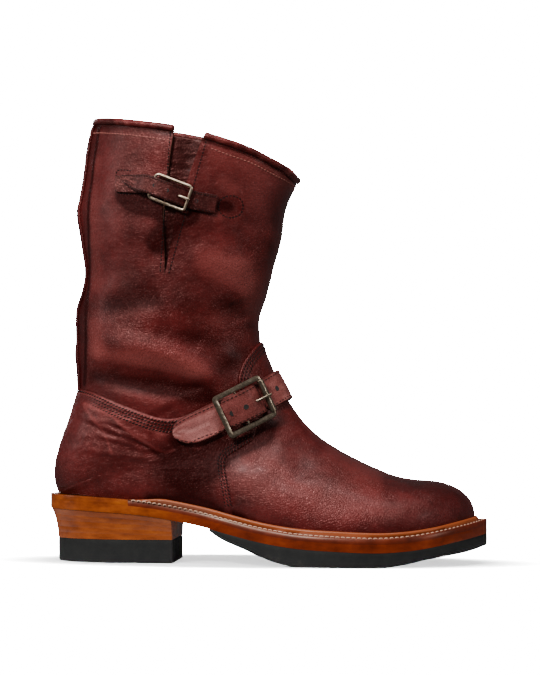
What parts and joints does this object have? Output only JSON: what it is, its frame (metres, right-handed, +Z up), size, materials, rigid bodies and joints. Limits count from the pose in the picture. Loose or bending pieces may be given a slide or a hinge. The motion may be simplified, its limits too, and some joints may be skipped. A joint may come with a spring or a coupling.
{
  "type": "engineer boot",
  "caption": "Tall leather work boot for the right foot, pulled on over the ankle, with a buckled strap across the instep, a small buckled strap at the collar and a stacked heel",
  "frame": {"origin": "on the ground plane, at the middle of the boot's length and width", "axes": "+X points to the toe, +Y to the inner side of the foot, +Z up; both buckles are on the outer side, at -Y"},
  "size_m": [0.3043, 0.11, 0.3069],
  "materials": {
    "upper_leather": "smooth waxed oxblood leather, creased by wear",
    "strap_leather": "lighter red leather with a burnished edge",
    "lining_leather": "plain matt insole leather",
    "sole_leather": "brown sole leather with a waxed edge",
    "heel_leather": "orange brown stacked leather with a polished edge",
    "black_rubber": "matt black rubber",
    "aged_steel": "dulled plated steel",
    "aged_brass": "mottled antique brass"
  },
  "bodies": {
    "root": {"upper": "upper_leather", "insole": "lining_leather", "midsole": "sole_leather", "outsole": "black_rubber", "heel_top_lift": "black_rubber", "heel_lift_1": "heel_leather", "heel_lift_2": "heel_leather", "heel_lift_3": "heel_leather", "heel_lift_4": "heel_leather", "heel_lift_5": "heel_leather", "welt": "sole_leather", "heel_rand": "sole_leather", "vamp": "upper_leather", "counter": "upper_leather", "backstay": "upper_leather", "collar_binding": "upper_leather", "gusset": "upper_leather", "top_chape": "strap_leather", "top_strap": "strap_leather", "top_buckle": "aged_steel", "top_prong": "aged_steel", "instep_strap": "strap_leather", "instep_buckle": "aged_brass", "instep_roller": "aged_brass", "instep_centre_bar": "aged_brass", "instep_prong": "aged_brass"}
  },
  "joints": []
}
